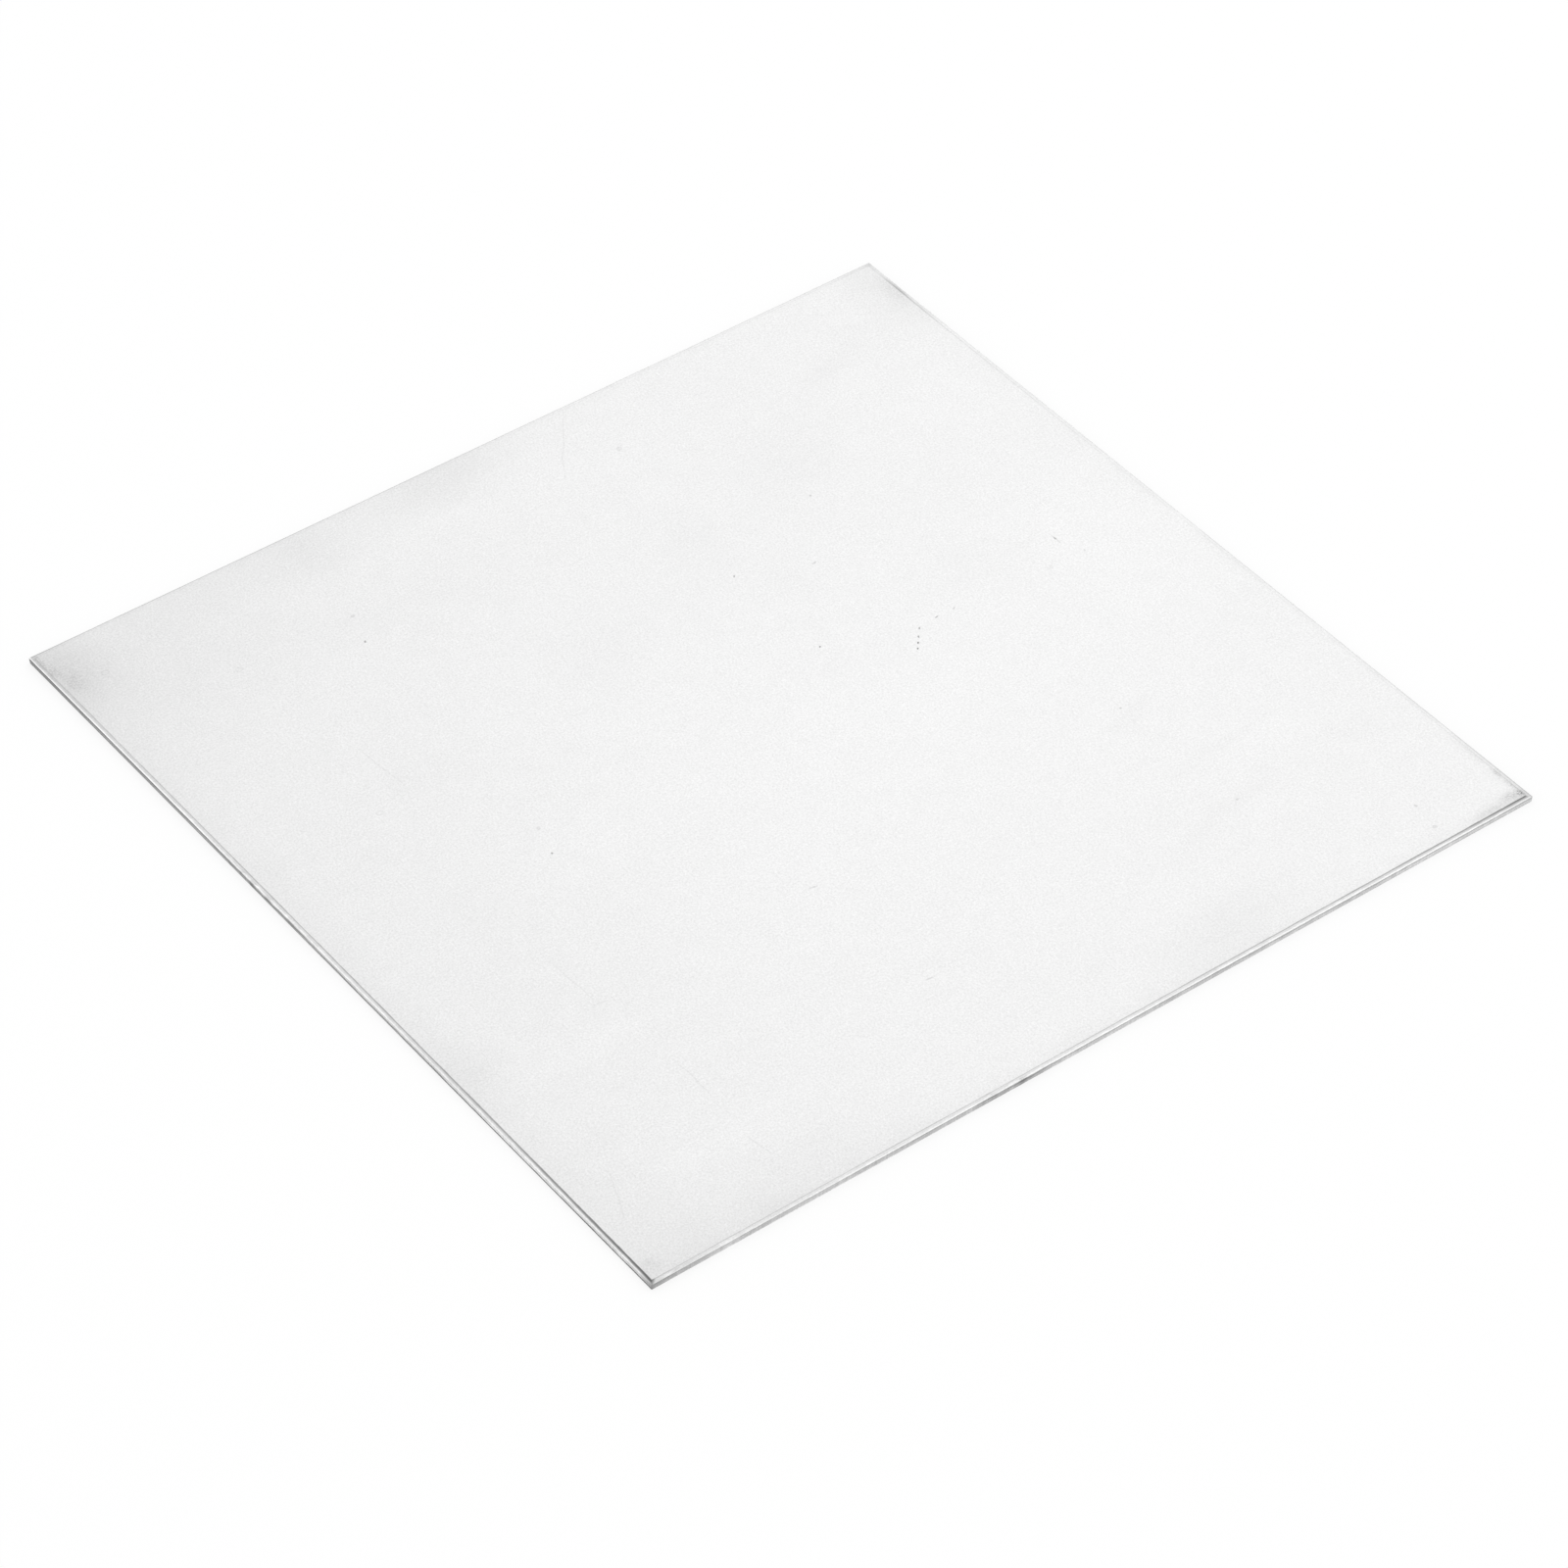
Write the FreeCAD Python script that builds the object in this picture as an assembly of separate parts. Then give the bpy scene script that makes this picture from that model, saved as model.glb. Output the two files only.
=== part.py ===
# Square of rolled titanium sheet, lying flat, with four sheared edges.
# Units are millimetres. The origin is at the middle of the underside and +Z points up.
import FreeCAD
import Part
import os

sheet_width = 150.0
sheet_length = 150.0
sheet_thickness = 1.0

# The shear blade pulls the top face down a little along every edge.
rollover_width = 0.72
rollover_depth = 0.06

# Below the rollover comes a short upright land, then the torn part, which leans inward.
land_height = 0.20
tear_lean = 0.04

# The lower arris is slightly broken, so it is not a knife edge.
arris_break = 0.03


def half_edge(half_span):
    """Points of the sheared edge on the positive side, from the underside up to the top face."""
    rim_height = sheet_thickness - rollover_depth
    land_foot = rim_height - land_height
    return {
        "rest": (half_span - tear_lean - arris_break, 0.0),
        "arris": (half_span - tear_lean, arris_break),
        "land_foot": (half_span, land_foot),
        "rim": (half_span, rim_height),
        "face": (half_span - rollover_width, sheet_thickness),
    }


def rollover_middle(half_span):
    """Point halfway along the rollover arc, which leaves the top face without a kink."""
    radius = (rollover_width ** 2 + rollover_depth ** 2) / (2.0 * rollover_depth)
    centre_height = sheet_thickness - radius
    across = rollover_width / 2.0
    rise = (radius ** 2 - across ** 2) ** 0.5
    return (half_span - rollover_width + across, centre_height + rise)


def section_edges(half_span, place):
    """Closed outline of the sheet's cross section, as a list of edges."""
    points = half_edge(half_span)
    middle = rollover_middle(half_span)
    order = ["rest", "arris", "land_foot", "rim"]
    right = [place(*points[name]) for name in order]
    left = [place(-points[name][0], points[name][1]) for name in order]
    face_right = place(*points["face"])
    face_left = place(-points["face"][0], points["face"][1])
    edges = []
    for start, end in zip(right[:-1], right[1:]):
        edges.append(Part.makeLine(start, end))
    edges.append(Part.Arc(right[-1], place(*middle), face_right).toShape())
    edges.append(Part.makeLine(face_right, face_left))
    edges.append(Part.Arc(face_left, place(-middle[0], middle[1]), left[-1]).toShape())
    upward = left[::-1]
    for start, end in zip(upward[:-1], upward[1:]):
        edges.append(Part.makeLine(start, end))
    edges.append(Part.makeLine(left[0], right[0]))
    return edges


def sheared_bar(half_span, place, run):
    """The cross section drawn out along one direction of the sheet."""
    wire = Part.Wire(Part.__sortEdges__(section_edges(half_span, place)))
    return Part.Face(wire).extrude(run)


def titanium_sheet():
    """The sheet: two crossed bars of the sheared section, kept where they overlap."""
    half_width = sheet_width / 2.0
    half_length = sheet_length / 2.0
    across_width = sheared_bar(
        half_width,
        lambda across, height: FreeCAD.Vector(across, -half_length, height),
        FreeCAD.Vector(0.0, sheet_length, 0.0),
    )
    across_length = sheared_bar(
        half_length,
        lambda across, height: FreeCAD.Vector(-half_width, across, height),
        FreeCAD.Vector(sheet_width, 0.0, 0.0),
    )
    sheet = across_width.common(across_length).removeSplitter()
    return sheet.Solids[0]


os.makedirs("parts", exist_ok=True)
titanium_sheet().exportStep("parts/titanium_sheet.step")
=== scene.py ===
import bpy
import math
import numpy as np
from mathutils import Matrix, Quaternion, Vector


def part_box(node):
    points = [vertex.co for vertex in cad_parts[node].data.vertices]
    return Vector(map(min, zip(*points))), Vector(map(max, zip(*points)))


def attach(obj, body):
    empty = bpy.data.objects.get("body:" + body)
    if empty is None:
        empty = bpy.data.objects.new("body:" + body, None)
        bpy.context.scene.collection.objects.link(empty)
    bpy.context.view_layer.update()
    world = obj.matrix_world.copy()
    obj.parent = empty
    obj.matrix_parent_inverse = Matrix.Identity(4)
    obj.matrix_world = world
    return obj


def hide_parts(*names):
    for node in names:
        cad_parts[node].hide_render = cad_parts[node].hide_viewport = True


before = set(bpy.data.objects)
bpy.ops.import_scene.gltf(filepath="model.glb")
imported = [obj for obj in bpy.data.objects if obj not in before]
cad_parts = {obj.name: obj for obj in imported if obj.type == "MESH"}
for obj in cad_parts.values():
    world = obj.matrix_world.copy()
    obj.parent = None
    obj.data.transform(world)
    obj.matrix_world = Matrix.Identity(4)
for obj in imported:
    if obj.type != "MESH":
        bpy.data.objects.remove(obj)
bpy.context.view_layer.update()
sheetLow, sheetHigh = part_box("titanium_sheet")
mm = 0.001
print("frame loaded, sheet", [round(v, 4) for v in sheetHigh - sheetLow])


def addNode(tree, kind, label="", **settings):
    node = tree.nodes.new(kind)
    node.label = label
    for key, value in settings.items():
        setattr(node, key, value)
    return node


def joinSockets(tree, source, target):
    tree.links.new(source, target)


def mathNode(tree, operation, first, second=None, third=None, clamp=False):
    # first, second and third are sockets or plain numbers
    node = addNode(tree, "ShaderNodeMath", operation=operation, use_clamp=clamp)
    for place, value in enumerate((first, second, third)):
        if value is None:
            continue
        if isinstance(value, (int, float)):
            node.inputs[place].default_value = value
        else:
            joinSockets(tree, value, node.inputs[place])
    return node.outputs[0]


# The sheared edge, all round the sheet. Lengths in millimetres.
edge = {
    "stepsPerSide": 750,
    "stripInsets": (1.20, 0.92, 0.80, 0.73, 0.67, 0.61, 0.54, 0.46, 0.37, 0.28, 0.19, 0.11, 0.05, 0.0),
    # inset and steps on a side of the wider rings, on both faces
    "coarseRings": ((1.9, 150), (4.0, 30), (14.0, 6)),
    "calmShare": 0.02,         # nothing wanders this near a corner, share of half a side
    "stepDrop": 0.022,         # the little step where the strip begins
    "stepSoftness": 0.018,
    "stepFade": 0.045,         # how far its shade reaches onto the face
    "spreadWander": 0.45,      # how uneven that shade is on the strip
    "wander": 0.05,            # how ragged the step line is
    "stripRipple": 0.004,      # height of the small waves on the strip
    "stripPatches": 0.03,
    "stripGrain": 0.05,
    "rimDrop": 0.055,          # how far the rim lies under the face
    # where the painted rim highlight and shade lie, and how wide
    "rimInset": 0.05,
    "rimWidth": 0.13,
    "ridge": 0.012,            # the rim stands up a little from the strip
    "ridgeInset": 0.07,
    "ridgeWidth": 0.05,
    "ridgeSteady": 0.6,        # share of it that doesn't come and go
    "spotInset": 0.2,          # painted glints on the strip
    "spotWidth": 0.16,
    "spotTone": 0.10,
    "spotGain": 2.2,
    "notchTone": 0.16,         # dark notches where the edge is roughest, on the rim and on the wall
    "notchWallTone": 0.18,
    "notchReach": 0.26,
    "notchShift": 0.05,        # more of them when it is higher
    # the heights and widths on the wall are shares of the rim height
    "wallHeights": (0.90, 0.81, 0.72, 0.62, 0.52, 0.42, 0.32, 0.22, 0.13, 0.06, 0.0),
    "wallLean": 0.05,          # the torn part leans in towards the foot
    "leanStart": 0.7,          # and begins to lean here
    "wallRough": 0.022,
    "smoothTop": 0.08,         # the top of the wall stays smooth
    "wallPatches": 0.13,
    "wallGrain": 0.11,
    "lineWidth": 0.10,         # dark line along the wall, partly painted dark reflection
    "footWidth": 0.15,
    "heel": 0.09,              # the shade of the foot ends this far in on the underside
    "seed": 41,
}

# Random lines along the edge: steps from knot to knot, and weight
edgeLines = {
    "ragged": ((28, 0.45), (9, 0.35), (3, 0.2)),
    "patches": ((60, 0.5), (17, 0.3), (4, 0.2)),
    "lineShift": ((40, 0.05), (7, 0.07)),
    "notches": ((7, 1.5), (3, 1.1)),
}

# Each side from its first corner to its last. places: where along it (0 to 1) the other rows are given;
# width: the pressed strip between face and rim, in millimetres; the tones are shares of the face colour
# Much of these tones is painted light: step is painted shade along the little step, strong on the front
# and left, faint at the back; rim is a painted highlight where above 1 and painted shade where below;
# strip, wall and line are partly the torn metal's own colour and partly painted shade and dark
# reflection, darkest at the near corner; foot is a painted shadow along the foot of the wall.
sides = {
    "front": {   # from the near corner to the right corner
        "places": (0.0, 0.004, 0.2, 0.34, 0.39, 0.44, 0.75, 0.93, 1.0),
        "width": (0.64, 0.64, 0.64, 0.64, 0.64, 0.64, 0.64, 0.64, 0.64),
        "step": (0.34, 0.74, 0.74, 0.70, 0.68, 0.68, 0.54, 0.44, 0.26),
        "stepSpread": (0.20, 0.08, 0.08, 0.08, 0.08, 0.09, 0.11, 0.20, 0.24),
        "strip": (0.40, 0.97, 0.96, 0.95, 0.95, 0.95, 0.90, 0.80, 0.72),
        "rim": (0.46, 1.02, 1.12, 1.17, 1.17, 1.17, 1.20, 1.20, 1.18),
        "wall": (0.52, 0.72, 0.82, 0.84, 0.74, 0.88, 0.95, 0.98, 0.92),
        "line": (0.50, 0.60, 0.68, 0.62, 0.50, 0.60, 0.60, 0.62, 0.58),
        "lineHeight": (0.80, 0.80, 0.84, 0.82, 0.82, 0.82, 0.82, 0.78, 0.76),
        "foot": (0.50, 0.84, 1.0, 0.98, 0.84, 0.98, 0.92, 0.76, 0.66),
        "rough": (0.9, 1.4, 0.9, 0.9, 2.4, 1.0, 1.1, 1.0, 1.0),
    },
    "right": {   # from the right corner to the far corner
        "places": (0.0, 0.08, 0.3, 0.6, 0.88, 0.93, 0.948, 0.965, 0.98, 1.0),
        "width": (0.64, 0.64, 0.64, 0.64, 0.64, 0.62, 0.60, 0.60, 0.60, 0.60),
        "step": (0.76, 0.90, 0.97, 0.95, 0.84, 0.76, 0.62, 0.76, 0.93, 0.88),
        "stepSpread": (0.10, 0.10, 0.10, 0.10, 0.12, 0.26, 0.44, 0.36, 0.16, 0.24),
        "strip": (0.96, 0.98, 0.99, 0.99, 0.99, 0.96, 0.90, 0.94, 0.97, 0.94),
        "rim": (0.72, 0.82, 0.90, 0.94, 0.96, 0.97, 0.94, 0.96, 0.98, 0.90),
        "wall": (0.70, 0.72, 0.74, 0.74, 0.72, 0.70, 0.70, 0.70, 0.70, 0.70),
        "line": (0.50, 0.50, 0.50, 0.50, 0.48, 0.48, 0.48, 0.48, 0.48, 0.48),
        "lineHeight": (0.76, 0.78, 0.78, 0.76, 0.76, 0.74, 0.74, 0.74, 0.74, 0.72),
        "foot": (0.62, 0.66, 0.68, 0.68, 0.66, 0.66, 0.66, 0.66, 0.64, 0.62),
        "rough": (0.6, 0.4, 0.3, 0.3, 0.3, 0.5, 0.5, 0.5, 0.4, 0.3),
    },
    "back": {    # from the far corner to the left corner
        "places": (0.0, 0.06, 0.3, 0.7, 0.95, 1.0),
        "width": (0.60, 0.60, 0.60, 0.60, 0.60, 0.60),
        "step": (0.92, 0.95, 0.99, 0.99, 0.98, 0.96),
        "stepSpread": (0.24, 0.14, 0.10, 0.10, 0.10, 0.12),
        "strip": (0.96, 0.99, 1.0, 1.0, 1.0, 0.98),
        "rim": (0.88, 0.90, 0.90, 0.78, 0.76, 0.66),
        "wall": (0.70, 0.70, 0.70, 0.70, 0.68, 0.66),
        "line": (0.48, 0.48, 0.48, 0.46, 0.42, 0.40),
        "lineHeight": (0.72, 0.74, 0.74, 0.74, 0.76, 0.78),
        "foot": (0.62, 0.64, 0.64, 0.62, 0.56, 0.50),
        "rough": (0.3, 0.3, 0.2, 0.2, 0.3, 0.5),
    },
    "left": {    # from the left corner to the near corner
        "places": (0.0, 0.12, 0.33, 0.36, 0.44, 0.49, 0.78, 0.9, 0.98, 1.0),
        "width": (0.62, 0.64, 0.64, 0.64, 0.64, 0.64, 0.62, 0.58, 0.54, 0.50),
        "step": (0.80, 0.70, 0.62, 0.58, 0.58, 0.55, 0.46, 0.31, 0.24, 0.20),
        "stepSpread": (0.08, 0.08, 0.08, 0.09, 0.10, 0.10, 0.20, 0.32, 0.38, 0.44),
        "strip": (0.93, 0.88, 0.90, 0.92, 0.92, 0.92, 0.82, 0.82, 0.83, 0.60),
        "rim": (1.44, 1.36, 1.24, 1.20, 1.20, 1.15, 1.11, 1.14, 1.14, 0.66),
        "wall": (0.48, 0.56, 0.64, 0.72, 0.80, 0.86, 1.06, 1.10, 1.04, 0.62),
        "line": (0.06, 0.08, 0.16, 0.18, 0.18, 0.16, 0.10, 0.08, 0.08, 0.12),
        "lineHeight": (0.87, 0.84, 0.76, 0.66, 0.52, 0.40, 0.21, 0.18, 0.16, 0.16),
        "foot": (0.22, 0.28, 0.34, 0.36, 0.30, 0.26, 0.10, 0.08, 0.08, 0.20),
        "rough": (0.7, 0.8, 1.0, 2.8, 2.2, 1.0, 1.0, 1.2, 1.2, 0.8),
    },
}
sideOrder = ("front", "right", "back", "left")
sideAlong = {"front": (1, 0), "right": (0, 1), "back": (-1, 0), "left": (0, -1)}
sideOut = {"front": (0, -1), "right": (1, 0), "back": (0, 1), "left": (-1, 0)}


def ripple(draw, count, spacing):
    # smooth random line that closes on itself, about -1 to 1, one knot every so many steps
    knots = max(4, count // spacing)
    values = draw.uniform(-1.0, 1.0, knots)
    places = np.arange(count) * knots / count
    low = places.astype(int) % knots
    share = places - np.floor(places)
    share = share * share * (3 - 2 * share)
    return values[low] * (1 - share) + values[(low + 1) % knots] * share


def ripples(draw, count, name):
    return sum(ripple(draw, count, spacing) * weight for spacing, weight in edgeLines[name])


def bell(distance, width):
    # 1 in the middle, fading out on both sides
    return math.exp(-(distance / width) ** 2)


def alongSide(name, key, share):
    return np.interp(share, sides[name]["places"], sides[name][key])


def aroundSheet(key):
    # one value for each point of a ring, side after side
    share = np.arange(edge["stepsPerSide"]) / edge["stepsPerSide"]
    return np.concatenate([alongSide(name, key, share) for name in sideOrder])


def ringPoints(inset, height):
    # inset and height in millimetres, one value for each point of the ring
    steps = edge["stepsPerSide"]
    halfSide = sheetHigh.x / mm
    points = np.zeros((steps * 4, 3))
    share = np.arange(steps) / steps
    for number, name in enumerate(sideOrder):
        part = slice(number * steps, (number + 1) * steps)
        along = np.array(sideAlong[name], float)
        out = np.array(sideOut[name], float)
        reach = halfSide - inset[part]
        travel = (2 * share - 1)[:, None] * reach[:, None] * along
        points[part, :2] = travel + reach[:, None] * out
    points[:, 2] = height
    return points


def sheetRings():
    # the rings of the edge from the face, over the strip and the rim, down the wall to the foot
    draw = np.random.RandomState(edge["seed"])
    count = edge["stepsPerSide"] * 4
    top = sheetHigh.z / mm
    rimHeight = top - edge["rimDrop"]
    corner = np.abs((np.arange(count) / edge["stepsPerSide"]) % 1.0 - 0.5) * 2
    calm = np.clip((1 - corner) / edge["calmShare"], 0, 1)
    paintedStepShade, stepSpread = aroundSheet("step"), aroundSheet("stepSpread")
    stripTone, paintedRimLightShade = aroundSheet("strip"), aroundSheet("rim")
    wallTone, lineTone, paintedFootShadow = aroundSheet("wall"), aroundSheet("line"), aroundSheet("foot")
    rough, lineHeight = aroundSheet("rough"), aroundSheet("lineHeight")
    ragged = ripples(draw, count, "ragged")
    stepPlace = aroundSheet("width") + ragged * edge["wander"] * calm
    paintedGlints = ripple(draw, count, 7) * ripple(draw, count, 19)
    paintedGlints = np.clip(paintedGlints * edge["spotGain"], 0, 1) * rough
    patches = ripples(draw, count, "patches") * rough
    lineShift = ripples(draw, count, "lineShift") * rough
    notches = np.clip(ripples(draw, count, "notches") + edge["notchShift"], 0, 1)
    notches = notches * np.clip(rough - 1, 0, 2)
    rings, tones, wallShares = [], [], []
    for inset in edge["stripInsets"]:
        insets = np.full(count, float(inset))
        # fall is 0 on the face and 1 on the strip
        fall = 1 / (1 + np.exp((inset - stepPlace) / edge["stepSoftness"]))
        slope = np.clip((stepPlace - inset) / stepPlace, 0, 1)
        height = top - fall * edge["stepDrop"] - slope * (edge["rimDrop"] - edge["stepDrop"])
        ridge = edge["ridge"] * bell(inset - edge["ridgeInset"], edge["ridgeWidth"])
        height += ridge * (edge["ridgeSteady"] + (1 - edge["ridgeSteady"]) * patches)
        height += fall * ripple(draw, count, 5) * edge["stripRipple"] * calm
        tone = 1 + (stripTone - 1) * fall
        spread = stepSpread * (1 + edge["spreadWander"] * ragged)
        width = np.where(inset > stepPlace, edge["stepFade"], spread)
        # painted shade along the little step
        tone = tone + (paintedStepShade - tone) * np.exp(-np.abs((inset - stepPlace) / width) ** 3)
        # painted highlight on the rim where its tone is above 1, painted shade where below
        tone = tone + (paintedRimLightShade - tone) * bell(inset - edge["rimInset"], edge["rimWidth"])
        uneven = edge["stripPatches"] * patches + edge["stripGrain"] * ripple(draw, count, 3) * rough
        tone = tone * (1 + uneven * fall)
        # painted glints on the strip
        tone = tone + paintedGlints * edge["spotTone"] * bell(inset - edge["spotInset"], edge["spotWidth"])
        tone = tone * (1 - edge["notchTone"] * notches * bell(inset, edge["notchReach"]))
        rings.append(ringPoints(insets, np.minimum(height, top)))
        tones.append(tone)
        wallShares.append(np.zeros(count))
    for share in edge["wallHeights"]:
        lean = edge["wallLean"] * np.clip(1 - share / edge["leanStart"], 0, 1)
        rise = min(1.0, share + edge["smoothTop"])
        depth = edge["wallRough"] * math.sin(math.pi * rise) if share > 0 else 0.0
        insets = lean + depth * (0.5 + 0.5 * ripple(draw, count, 6)) * calm
        height = np.full(count, share * rimHeight)
        near = (share - (lineHeight + lineShift)) / edge["lineWidth"]
        # the wall's tone and its dark line: partly the torn metal's own colour, partly painted shade
        # and dark reflection
        tone = wallTone + (lineTone - wallTone) * np.exp(-near ** 2)
        tone = tone + (paintedFootShadow - tone) * bell(share, edge["footWidth"])     # painted shadow along the foot
        grain = edge["wallGrain"] * ripple(draw, count, 4) * rough
        tone = tone * (1 + edge["wallPatches"] * patches + grain - edge["notchWallTone"] * notches)
        rings.append(ringPoints(insets, height))
        tones.append(tone)
        wallShares.append(np.full(count, 1.0))
    # the underside begins right behind the foot, in the plain tone of the sheet
    rings.append(ringPoints(np.full(count, edge["wallLean"] + edge["heel"]), np.zeros(count)))
    tones.append(np.ones(count))
    wallShares.append(np.zeros(count))
    return rings, tones, wallShares


def coarseRing(inset, height, stepsOnSide):
    halfSide = sheetHigh.x / mm - inset
    share = np.arange(stepsOnSide) / stepsOnSide
    points = []
    for name in sideOrder:
        along, out = np.array(sideAlong[name], float), np.array(sideOut[name], float)
        flat = (2 * share - 1)[:, None] * halfSide * along + halfSide * out
        points.append(np.column_stack([flat, np.full(stepsOnSide, height)]))
    return np.concatenate(points)


def ringQuads(outer, inner, count):
    # both start numbers are the first vertex of a ring; the faces look up or outward
    here = np.arange(count)
    ahead = (here + 1) % count
    return [(int(outer + a), int(outer + b), int(inner + b), int(inner + a))
            for a, b in zip(here, ahead)]


def stitchRings(fine, fineCount, coarse, coarseCount, upward):
    # joins a fine ring to a coarse one with triangles
    ratio = fineCount // coarseCount
    faces = []
    for number in range(coarseCount):
        start, end = coarse + number, coarse + (number + 1) % coarseCount
        middle = number * ratio + ratio // 2
        for step in range(number * ratio, (number + 1) * ratio):
            apex = start if step < middle else end
            faces.append((fine + step % fineCount, fine + (step + 1) % fineCount, apex))
        faces.append((start, fine + middle, end))
    return faces if upward else [tuple(reversed(face)) for face in faces]


def makeSheet():
    rings, tones, wallShares = sheetRings()
    count = edge["stepsPerSide"] * 4
    top = sheetHigh.z / mm
    points, faces = list(rings), []
    starts = [number * count for number in range(len(rings))]
    for upper, lower in zip(starts[:-1], starts[1:]):
        faces += ringQuads(lower, upper, count)
    total = len(rings) * count
    for fine, height, upward in ((starts[0], top, True), (starts[-1], 0.0, False)):
        fineCount = count
        for inset, steps in edge["coarseRings"]:
            points.append(coarseRing(inset, height, steps))
            faces += stitchRings(fine, fineCount, total, steps * 4, upward)
            fine, fineCount = total, steps * 4
            total += steps * 4
        cap = tuple(range(fine, fine + fineCount))
        faces.append(cap if upward else tuple(reversed(cap)))
    points = np.concatenate(points) * mm
    tone = np.ones(len(points))
    wall = np.zeros(len(points))
    tone[:len(rings) * count] = np.concatenate(tones)
    wall[:len(rings) * count] = np.concatenate(wallShares)
    mesh = bpy.data.meshes.new("rolledSheet")
    mesh.from_pydata(points.tolist(), [], faces)
    mesh.validate()
    mesh.attributes.new("edgeTone", "FLOAT", "POINT").data.foreach_set("value", tone)
    mesh.attributes.new("tornWall", "FLOAT", "POINT").data.foreach_set("value", wall)
    mesh.update()
    piece = bpy.data.objects.new("rolledSheet", mesh)
    bpy.context.scene.collection.objects.link(piece)
    for polygon in mesh.polygons:
        polygon.use_smooth = True
    print("sheet mesh", len(mesh.vertices), "points")
    return piece


# The finish of the metal. The marks are on the upper face: places are millimetres from the middle of
# the sheet, strengths are shares of tone.
finish = {
    "colour": 0.86,
    "wallColour": 0.92,
    "roughness": 0.56,
    "wallRoughness": 0.62,
    "grainRoughness": 0.12,    # how much the grain and the clouds change it
    "cloudRoughness": 0.10,
    "cloudTone": 0.026,
    "mottleTone": 0.018,
    "streakTone": 0.020,
    "grainTone": 0.08,
    "cellTone": 0.06,
    "cellSize": 8.3,           # etched crystal cells in a millimetre
    "wallGrain": 0.35,
    "grainHeight": 0.0016,     # millimetres
    "wallRelief": 0.02,
    "softWobble": (0.14, 5.0),    # waves in a millimetre and reach: the smudges and painted light,
    "thinWobble": (0.22, 0.8),    # the scratches
    "dirtWobble": (1.1, 0.9),     # and the corner dirt
    "dirtContrast": 4.0,
    "markDepth": 0.3,          # half height of a mark, which keeps it off the underside
    "ringFlatness": 0.8,       # a dried ring's short size as a share of its long one
}

# Noise of the finish: waves in a millimetre, and turn and stretch where it is longer one way
noises = {
    "clouds": {"scale": 0.045, "detail": 3.5, "roughness": 0.52, "distortion": 0.4,
               "turn": -28, "stretch": (0.5, 1.25, 1.0)},
    "mottle": {"scale": 0.30, "detail": 2.0, "roughness": 0.5, "distortion": 0.5},
    "streaks": {"scale": 0.9, "detail": 2.0, "roughness": 0.5, "distortion": 0.3,
                "turn": -6, "stretch": (0.12, 2.2, 1.0)},
    "grain": {"scale": 3.3, "detail": 0.0, "roughness": 0.5, "dimensions": "2D"},
    "torn": {"scale": 6.0, "detail": 2.0, "roughness": 0.65, "turn": 0, "stretch": (1.0, 1.0, 0.45)},
    "dirt": {"scale": 3.4, "detail": 2.0, "roughness": 0.9},
}

# smudges, painted shade and painted highlights on the face: x, y, half length, half width, turn in
# degrees, share of darkening (below nothing it lightens)
smudgesAndPaintedLight = (
    (-75.0, 0.0, 62.0, 190.0, 0, 0.026),      # painted shade: the left is darker all along
    (-76.0, 0.0, 8.0, 170.0, 0, 0.040),
    (-66.0, 63.0, 42.0, 30.0, 30, 0.044),
    (-76.0, 71.0, 15.0, 20.0, 20, 0.095),
    (-30.0, 76.0, 56.0, 14.0, 0, 0.042),      # along the back
    (-31.0, 70.0, 9.0, 11.0, 0, 0.036),
    (-6.0, 72.0, 17.0, 9.0, 10, 0.046),
    (-25.0, 55.0, 38.0, 20.0, 0, 0.016),
    (0.0, 76.0, 150.0, 3.5, 0, 0.022),
    (36.0, 44.0, 17.0, 10.0, 35, 0.018),       # soft patches on the middle
    (14.6, 40.0, 9.0, 12.0, 0, 0.015),
    (-11.0, 26.0, 14.0, 11.0, 30, 0.015),
    (-45.0, 22.0, 9.0, 6.0, 0, 0.014),
    (20.0, 23.0, 7.0, 9.0, 0, 0.014),
    (44.0, 10.0, 13.0, 11.0, 0, 0.010),
    (57.0, 59.0, 17.0, 5.0, 22, 0.020),
    (74.0, 68.0, 10.0, 17.0, 0, 0.055),       # the corners
    (73.5, -74.5, 12.0, 3.6, 4, 0.110),
    (75.5, -70.0, 3.4, 12.0, 0, 0.080),
    (-70.0, -62.0, 12.0, 22.0, 0, 0.026),
    (-72.5, -31.0, 8.0, 9.0, 0, 0.036),
    (24.0, -70.0, 19.0, 9.0, 10, 0.040),      # along the front
    (-60.0, -76.0, 50.0, 16.0, 0, 0.060),
    (0.0, -76.0, 170.0, 5.0, 0, 0.040),
    (76.0, 0.0, 3.2, 160.0, 0, 0.036),
    (42.0, -28.0, 11.0, 1.9, 6, 0.018),       # thin wisps
    (38.0, -52.0, 17.0, 2.6, 12, 0.018),
    (65.0, -50.0, 8.0, 3.0, -20, 0.016),
    (48.0, -41.0, 16.0, 1.8, 3, 0.009),
    (-57.0, -35.6, 27.0, 3.4, 0, -0.016),     # wiped lighter
    (-55.0, -59.6, 27.0, 3.0, 2, -0.012),
    # painted highlight: lighter over the middle and towards the right
    (15.0, -11.0, 90.0, 60.0, 8, -0.018),
    (64.0, 44.0, 16.0, 23.0, 0, -0.010),
    (64.0, 2.0, 22.0, 30.0, 0, -0.012),
    # wiped lighter
    (55.0, -43.5, 10.0, 4.0, -10, -0.014),
)

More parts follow.
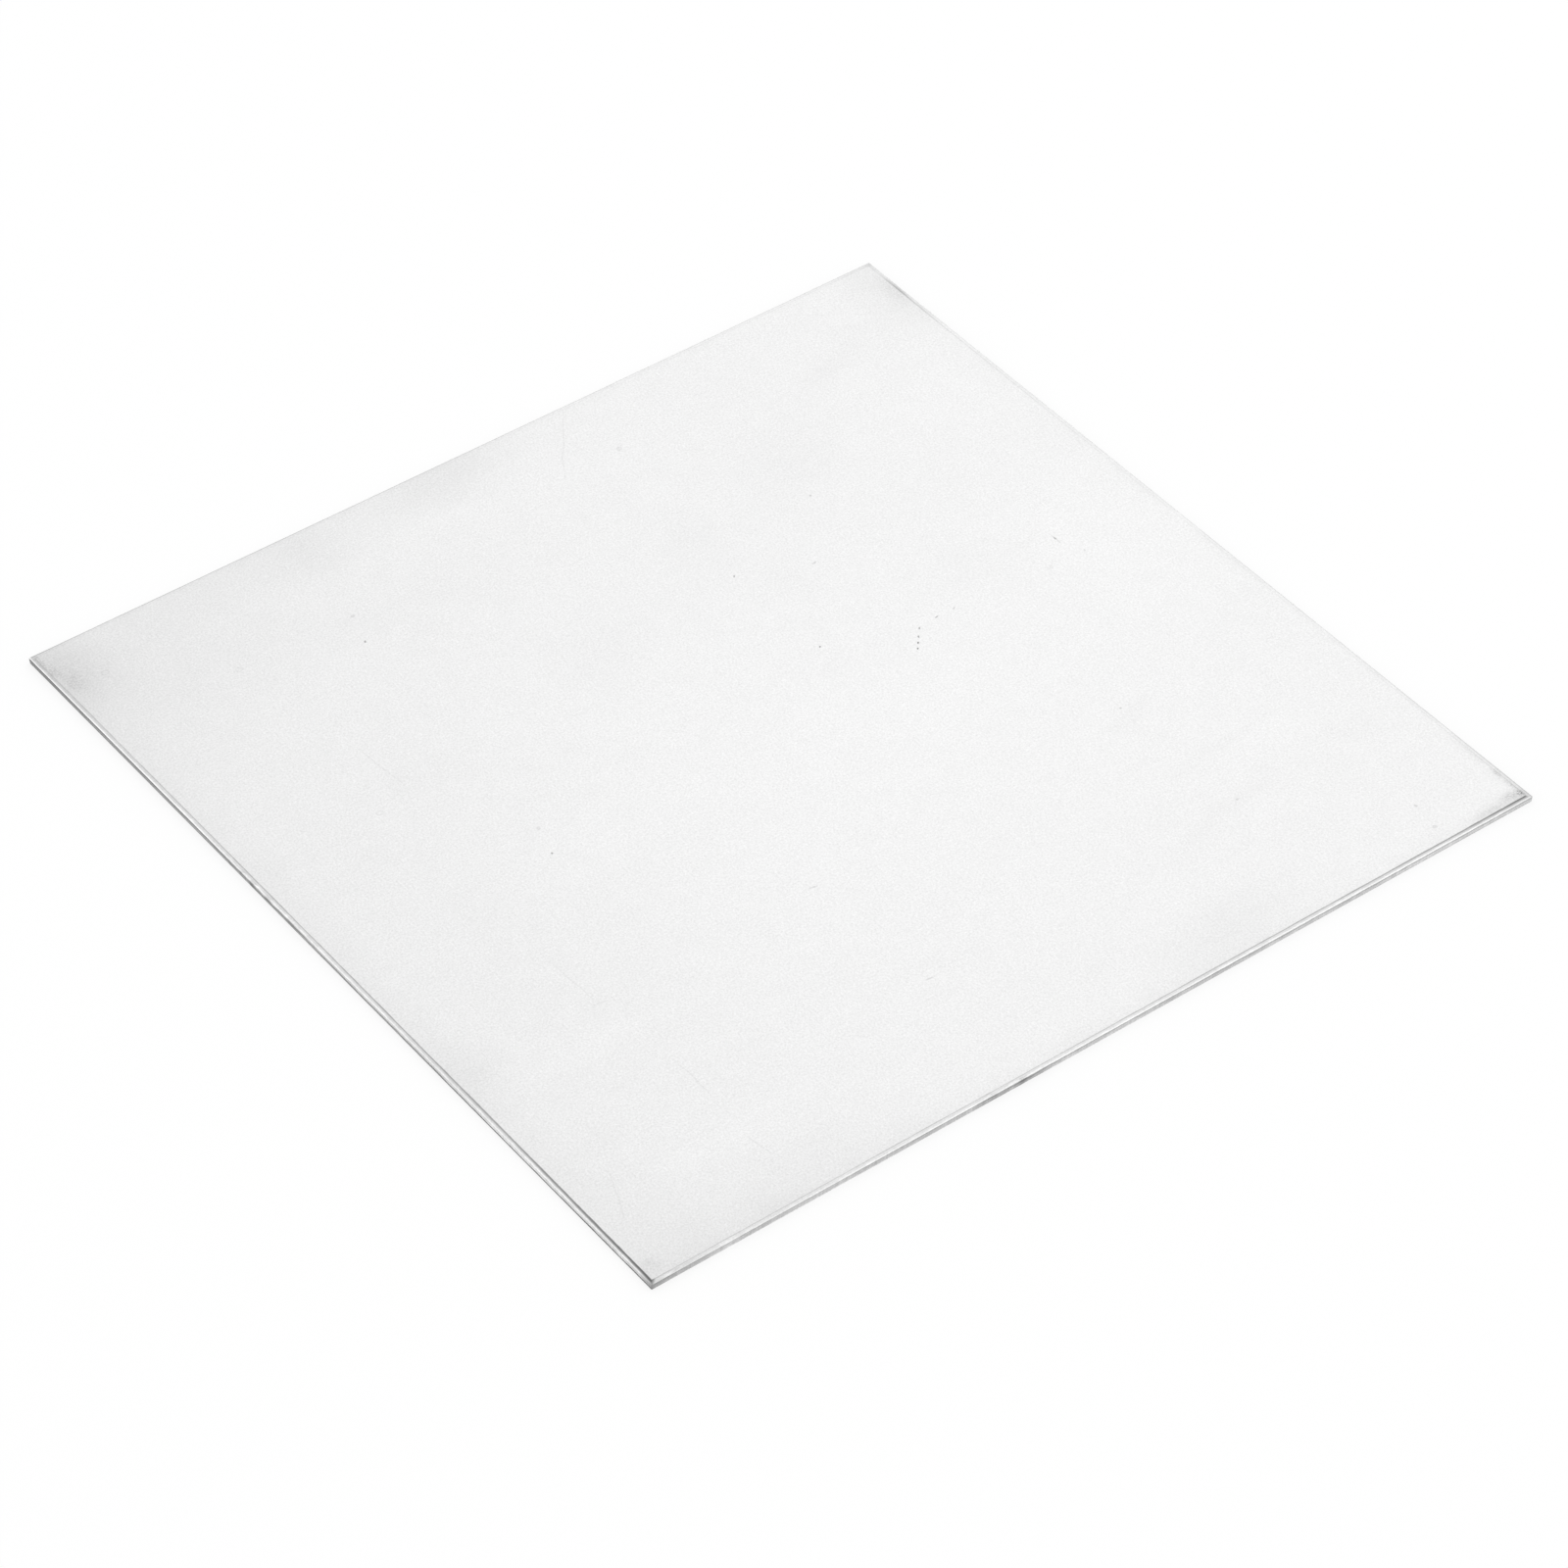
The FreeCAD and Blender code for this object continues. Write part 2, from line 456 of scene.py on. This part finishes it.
# granular dirt in the corners: x, y, half length, half width, turn, share where the grains are darkest
cornerDirt = (
    (-74.4, 73.6, 0.8, 2.4, 0, 0.34),
    (-73.9, 70.4, 1.3, 2.2, 0, 0.20),
    (-72.5, 66.8, 1.9, 3.2, 0, 0.12),
    (-73.3, 66.4, 0.3, 2.9, 0, 0.12),
    (-71.4, 68.4, 4.6, 7.5, 0, 0.11),
    (-73.2, -72.3, 2.2, 1.8, 0, 0.14),
    (74.1, -73.6, 0.8, 0.7, 0, 0.60),
    (72.9, -73.2, 2.4, 1.2, 0, 0.26),
    (68.4, -73.7, 3.6, 0.6, 0, 0.16),
    (74.2, -68.6, 0.40, 1.5, 0, 0.34),
    (74.2, -71.4, 0.5, 1.5, 0, 0.26),
    (74.2, -64.0, 0.4, 3.4, 0, 0.10),
    (73.9, 67.2, 2.2, 5.0, 0, 0.12),
    (74.6, 74.7, 1.0, 0.9, 0, 0.18),
)

# specks and short nicks
specks = (
    (-35.15, 49.05, 0.28, 0.15, 58, 0.48),
    (-33.5, 54.7, 0.38, 0.28, 0, 0.14),
    (-37.8, 2.6, 0.42, 0.30, 60, 0.12),
    (-39.2, -2.6, 0.20, 0.18, 60, 0.45),
    (15.0, 28.7, 0.30, 0.13, 55, 0.38),
    (26.0, 24.1, 0.46, 0.16, 12, 0.20),
    (15.6, 9.1, 0.18, 0.15, 40, 0.64),
    (56.95, 7.35, 0.15, 0.28, 0, 0.34),
    (56.95, 7.2, 0.13, 1.3, 0, 0.14),
    (58.7, 2.75, 0.28, 0.13, 45, 0.16),
    (52.3, 2.8, 0.70, 0.55, 30, 0.045),
    (18.6, 62.0, 0.66, 0.42, 50, 0.09),
    (34.55, 36.4, 0.26, 0.20, 60, 0.22),
    (-14.8, -29.5, 0.80, 0.16, -12, 0.13),
    (-13.1, -52.9, 0.70, 0.18, -10, 0.12),
    (60.9, -66.8, 0.20, 0.34, 0, 0.18),
    (60.2, -71.5, 0.42, 0.36, 0, 0.13),
    (42.2, -50.9, 0.26, 0.22, 0, 0.17),
    (41.3, -26.7, 0.20, 0.18, 0, 0.26),
    (26.4, 0.4, 0.20, 0.14, 50, 0.66),
    (27.2, 1.35, 0.24, 0.14, 50, 0.66),
    (28.05, 2.35, 0.28, 0.14, 60, 0.50),
    (29.25, 3.7, 0.28, 0.13, 50, 0.50),
    (32.7, 4.15, 0.36, 0.13, 10, 0.40),
    (35.85, 4.15, 0.30, 0.13, 30, 0.26),
)

# fine scratches
scratches = (
    (12.4, 67.4, 8.6, 0.13, 56, 0.060),
    (-48.1, 26.0, 6.0, 0.14, 96, 0.052),
    (-51.4, -24.6, 5.0, 0.13, 93, 0.055),
    (-50.7, -30.0, 1.3, 0.13, -12, 0.050),
    (-49.1, -49.1, 4.4, 0.13, 90, 0.058),
    (-69.6, -60.2, 5.0, 0.14, 68, 0.055),
    (-49.5, -63.4, 3.0, 0.13, 100, 0.060),
)

# faint dried rings: x, y, radius, share
driedRings = (
    (-52.6, 54.9, 0.62, 0.070),
    (-53.4, 18.3, 0.62, 0.065),
    (-68.1, 65.8, 0.66, 0.085),
)


def markTone(tree, tone, place, x, y, halfLength, halfWidth, turn, share, inner=0.6, outer=1.2):
    # darkens an oval on the upper face, fading out from inner to outer (both in half sizes)
    oval = addNode(tree, "ShaderNodeMapping", vector_type="TEXTURE")
    joinSockets(tree, place, oval.inputs["Vector"])
    oval.inputs["Location"].default_value = (x, y, sheetHigh.z / mm)
    oval.inputs["Rotation"].default_value = (0, 0, math.radians(turn))
    oval.inputs["Scale"].default_value = (halfLength, halfWidth, finish["markDepth"])
    reach = addNode(tree, "ShaderNodeVectorMath", operation="LENGTH")
    joinSockets(tree, oval.outputs[0], reach.inputs[0])
    fade = addNode(tree, "ShaderNodeMapRange", interpolation_type="SMOOTHSTEP")
    joinSockets(tree, reach.outputs["Value"], fade.inputs["Value"])
    fade.inputs["From Min"].default_value = inner
    fade.inputs["From Max"].default_value = outer
    fade.inputs["To Min"].default_value = 1.0 - share
    fade.inputs["To Max"].default_value = 1.0
    return mathNode(tree, "MULTIPLY", tone, fade.outputs["Result"])


def loosePlace(tree, place, scale, amount):
    # the place with a little wobble, so that no mark has a clean outline
    noise = addNode(tree, "ShaderNodeTexNoise", "wobble")
    joinSockets(tree, place, noise.inputs["Vector"])
    noise.inputs["Scale"].default_value = scale
    noise.inputs["Detail"].default_value = 3.0
    shift = addNode(tree, "ShaderNodeVectorMath", operation="MULTIPLY_ADD")
    joinSockets(tree, noise.outputs["Color"], shift.inputs[0])
    shift.inputs[1].default_value = (amount, amount, 0)
    shift.inputs[2].default_value = (-amount / 2, -amount / 2, 0)
    loose = addNode(tree, "ShaderNodeVectorMath", operation="ADD")
    joinSockets(tree, place, loose.inputs[0])
    joinSockets(tree, shift.outputs[0], loose.inputs[1])
    return loose.outputs[0]


def drawnPlace(tree, place, turn, scale):
    drawn = addNode(tree, "ShaderNodeMapping")
    joinSockets(tree, place, drawn.inputs["Vector"])
    drawn.inputs["Rotation"].default_value = (0, 0, math.radians(turn))
    drawn.inputs["Scale"].default_value = scale
    return drawn.outputs[0]


def noiseField(tree, place, name):
    # about -0.5 to 0.5
    noise = noises[name]
    if "stretch" in noise:
        place = drawnPlace(tree, place, noise["turn"], noise["stretch"])
    field = addNode(tree, "ShaderNodeTexNoise", name, noise_dimensions=noise.get("dimensions", "3D"))
    joinSockets(tree, place, field.inputs["Vector"])
    field.inputs["Scale"].default_value = noise["scale"]
    field.inputs["Detail"].default_value = noise["detail"]
    field.inputs["Roughness"].default_value = noise["roughness"]
    field.inputs["Distortion"].default_value = noise.get("distortion", 0.0)
    return mathNode(tree, "SUBTRACT", field.outputs["Fac"], 0.5)


def addShare(tree, tone, field, share):
    return mathNode(tree, "MULTIPLY_ADD", field, share, tone)


def dirtTone(tree, tone, place):
    # the ovals say where the dirt lies, the grains how much of it
    clean = 1.0
    raggedPlace = loosePlace(tree, place, *finish["dirtWobble"])
    for mark in cornerDirt:
        clean = markTone(tree, clean, raggedPlace, *mark, inner=0.0, outer=1.2)
    grains = noiseField(tree, place, "dirt")
    grains = mathNode(tree, "MULTIPLY_ADD", grains, finish["dirtContrast"], 0.5, clamp=True)
    dirt = mathNode(tree, "MULTIPLY", mathNode(tree, "SUBTRACT", 1.0, clean), grains)
    return mathNode(tree, "MULTIPLY", tone, mathNode(tree, "SUBTRACT", 1.0, dirt))


def titaniumFinish():
    material = bpy.data.materials.new("rolledTitanium")
    material.use_nodes = True
    tree = material.node_tree
    tree.nodes.clear()
    output = addNode(tree, "ShaderNodeOutputMaterial")
    metal = addNode(tree, "ShaderNodeBsdfPrincipled")
    joinSockets(tree, metal.outputs[0], output.inputs["Surface"])
    metal.inputs["Metallic"].default_value = 1.0

    coordinates = addNode(tree, "ShaderNodeTexCoord")
    scaled = addNode(tree, "ShaderNodeVectorMath", "millimetres", operation="SCALE")
    joinSockets(tree, coordinates.outputs["Object"], scaled.inputs[0])
    scaled.inputs["Scale"].default_value = 1 / mm
    place = scaled.outputs[0]

    clouds = noiseField(tree, place, "clouds")
    mottle = noiseField(tree, place, "mottle")
    streaks = noiseField(tree, place, "streaks")
    grain = noiseField(tree, place, "grain")
    cells = addNode(tree, "ShaderNodeTexVoronoi", "etched cells", voronoi_dimensions="2D")
    joinSockets(tree, place, cells.inputs["Vector"])
    cells.inputs["Scale"].default_value = finish["cellSize"]
    cellField = mathNode(tree, "SUBTRACT", cells.outputs["Color"], 0.5)
    torn = noiseField(tree, place, "torn")

    tone = addNode(tree, "ShaderNodeValue", "plain")
    tone.outputs[0].default_value = 1.0
    tone = tone.outputs[0]
    for field, share in ((clouds, 2 * finish["cloudTone"]), (mottle, 2 * finish["mottleTone"]),
                         (streaks, finish["streakTone"]), (grain, 2 * finish["grainTone"]),
                         (cellField, 2 * finish["cellTone"])):
        tone = addShare(tree, tone, field, share)
    softPlace = loosePlace(tree, place, *finish["softWobble"])
    for mark in smudgesAndPaintedLight:
        tone = markTone(tree, tone, softPlace, *mark, inner=0.0, outer=1.0)
    tone = dirtTone(tree, tone, place)
    thinPlace = loosePlace(tree, place, *finish["thinWobble"])
    for mark in scratches:
        tone = markTone(tree, tone, thinPlace, *mark)
    for mark in specks:
        tone = markTone(tree, tone, place, *mark)
    for x, y, radius, share in driedRings:
        # darkens a disc, then lightens its middle again, which leaves the rim
        shortRadius = radius * finish["ringFlatness"]
        tone = markTone(tree, tone, place, x, y, radius, shortRadius, 0, share, 0.9, 1.1)
        tone = markTone(tree, tone, place, x, y, radius, shortRadius, 0, -share, 0.5, 0.8)

    edgeTone = addNode(tree, "ShaderNodeAttribute", "edge tone", attribute_name="edgeTone")
    tornWall = addNode(tree, "ShaderNodeAttribute", "torn wall", attribute_name="tornWall")
    onWall = tornWall.outputs["Fac"]
    tone = mathNode(tree, "MULTIPLY", tone, edgeTone.outputs["Fac"])
    wallShift = mathNode(tree, "MULTIPLY_ADD", torn, finish["wallGrain"], finish["wallColour"] - 1.0)
    tone = mathNode(tree, "MULTIPLY", tone, mathNode(tree, "MULTIPLY_ADD", onWall, wallShift, 1.0))
    grey = mathNode(tree, "MULTIPLY", tone, finish["colour"], clamp=True)
    colour = addNode(tree, "ShaderNodeCombineColor")
    for channel in ("Red", "Green", "Blue"):
        joinSockets(tree, grey, colour.inputs[channel])
    joinSockets(tree, colour.outputs[0], metal.inputs["Base Color"])

    # roughness: a little more in the grain and the clouds, more on the torn wall
    rough = mathNode(tree, "MULTIPLY_ADD", grain, finish["grainRoughness"], finish["roughness"])
    rough = addShare(tree, rough, clouds, finish["cloudRoughness"])
    wallExtra = finish["wallRoughness"] - finish["roughness"]
    rough = mathNode(tree, "MULTIPLY_ADD", onWall, wallExtra, rough, clamp=True)
    joinSockets(tree, rough, metal.inputs["Roughness"])

    bump = addNode(tree, "ShaderNodeBump")
    bump.inputs["Strength"].default_value = 1.0
    bump.inputs["Distance"].default_value = mm
    height = mathNode(tree, "MULTIPLY", grain, 2 * finish["grainHeight"])
    tornHere = mathNode(tree, "MULTIPLY", onWall, torn)
    height = mathNode(tree, "MULTIPLY_ADD", tornHere, finish["wallRelief"], height)
    joinSockets(tree, height, bump.inputs["Height"])
    joinSockets(tree, bump.outputs[0], metal.inputs["Normal"])
    print("titanium finish,", len(tree.nodes), "nodes")
    return material


sheetPiece = makeSheet()
sheetPiece.data.materials.append(titaniumFinish())
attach(sheetPiece, "root")
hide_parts("titanium_sheet")
print("sheet dressed")


# Floor and surroundings. The camera and the metal see plain white; the floor keeps a soft shadow.
studio = {
    "floorSize": 3.0,
    "floorColour": 0.97,
    "floorDrop": 0.00002,      # metres, just clear of the underside
    "shadowKept": 0.25,
    "worldLight": 1.0,
}


def whiteRays(tree):
    # 1 for the rays that see the background: camera, glossy and transmission
    path = addNode(tree, "ShaderNodeLightPath")
    both = mathNode(tree, "MAXIMUM", path.outputs["Is Camera Ray"], path.outputs["Is Glossy Ray"])
    return mathNode(tree, "MAXIMUM", both, path.outputs["Is Transmission Ray"])


def makeWorld():
    world = bpy.data.worlds.new("whiteStudio")
    world.use_nodes = True
    tree = world.node_tree
    tree.nodes.clear()
    output = addNode(tree, "ShaderNodeOutputWorld")
    white = addNode(tree, "ShaderNodeBackground", "seen")
    white.inputs["Color"].default_value = (1, 1, 1, 1)
    white.inputs["Strength"].default_value = 1.0
    light = addNode(tree, "ShaderNodeBackground", "light")
    light.inputs["Color"].default_value = (1, 1, 1, 1)
    light.inputs["Strength"].default_value = studio["worldLight"]
    mix = addNode(tree, "ShaderNodeMixShader")
    joinSockets(tree, whiteRays(tree), mix.inputs[0])
    joinSockets(tree, light.outputs[0], mix.inputs[1])
    joinSockets(tree, white.outputs[0], mix.inputs[2])
    joinSockets(tree, mix.outputs[0], output.inputs["Surface"])
    bpy.context.scene.world = world


def makeFloor():
    half = studio["floorSize"] / 2
    under = -studio["floorDrop"]
    mesh = bpy.data.meshes.new("studioFloor")
    corners = [(-half, -half, under), (half, -half, under), (half, half, under), (-half, half, under)]
    mesh.from_pydata(corners, [], [(0, 1, 2, 3)])
    floor = bpy.data.objects.new("studioFloor", mesh)
    bpy.context.scene.collection.objects.link(floor)
    material = bpy.data.materials.new("paleFloor")
    material.use_nodes = True
    tree = material.node_tree
    tree.nodes.clear()
    output = addNode(tree, "ShaderNodeOutputMaterial")
    plain = addNode(tree, "ShaderNodeBsdfDiffuse")
    plain.inputs["Color"].default_value = (studio["floorColour"],) * 3 + (1,)
    white = addNode(tree, "ShaderNodeEmission")
    white.inputs["Strength"].default_value = 1.0
    seen = mathNode(tree, "MULTIPLY", whiteRays(tree), 1 - studio["shadowKept"])
    mix = addNode(tree, "ShaderNodeMixShader")
    joinSockets(tree, seen, mix.inputs[0])
    joinSockets(tree, plain.outputs[0], mix.inputs[1])
    joinSockets(tree, white.outputs[0], mix.inputs[2])
    clear = addNode(tree, "ShaderNodeBsdfTransparent")
    geometry = addNode(tree, "ShaderNodeNewGeometry")
    fromBelow = addNode(tree, "ShaderNodeMixShader", "open from below")
    joinSockets(tree, geometry.outputs["Backfacing"], fromBelow.inputs[0])
    joinSockets(tree, mix.outputs[0], fromBelow.inputs[1])
    joinSockets(tree, clear.outputs[0], fromBelow.inputs[2])
    joinSockets(tree, fromBelow.outputs[0], output.inputs["Surface"])
    mesh.materials.append(material)


# Soft lamps: place, what they face, width, watts
lamps = {
    "softBoxBack": {"place": (0.62, 0.50, 0.75), "width": 0.7, "watts": 0.34},
    "softBoxRight": {"place": (0.70, -0.45, 0.60), "width": 0.5, "watts": 0.16},
}


def makeLamps():
    for name, lamp in lamps.items():
        data = bpy.data.lights.new(name, "AREA")
        data.shape = "SQUARE"
        data.size = lamp["width"]
        data.energy = lamp["watts"]
        light = bpy.data.objects.new(name, data)
        bpy.context.scene.collection.objects.link(light)
        light.location = lamp["place"]
        light.rotation_mode = "QUATERNION"
        light.rotation_quaternion = (-Vector(lamp["place"])).to_track_quat("-Z", "Y")


# The photo's viewpoint, found from the sheet's corners
viewpoint = {
    "azimuth": -36.674,
    "elevation": 42.902,
    "distance": 0.8163,
    "lookAt": (-0.004992, -0.009801, 0.0),
    "tilt": -0.3797,
    "lens": 135.35,
    "sensor": 36.0,
    "nearest": 0.01,
    "farthest": 20.0,
}


def makeCamera():
    data = bpy.data.cameras.new("photoCamera")
    data.sensor_width = viewpoint["sensor"]
    data.sensor_fit = "HORIZONTAL"
    data.lens = viewpoint["lens"]
    data.clip_start, data.clip_end = viewpoint["nearest"], viewpoint["farthest"]
    camera = bpy.data.objects.new("photoCamera", data)
    bpy.context.scene.collection.objects.link(camera)
    turn, rise = math.radians(viewpoint["azimuth"]), math.radians(viewpoint["elevation"])
    back = Vector((math.sin(turn) * math.cos(rise), -math.cos(turn) * math.cos(rise), math.sin(rise)))
    camera.rotation_mode = "QUATERNION"
    camera.location = Vector(viewpoint["lookAt"]) + back * viewpoint["distance"]
    level = (-back).to_track_quat("-Z", "Y")
    camera.rotation_quaternion = level @ Quaternion((0, 0, 1), math.radians(viewpoint["tilt"]))
    bpy.context.scene.camera = camera


makeWorld()
makeFloor()
makeLamps()
makeCamera()
bpy.context.scene.view_settings.view_transform = "Standard"
print("stage, lamps and camera ready")
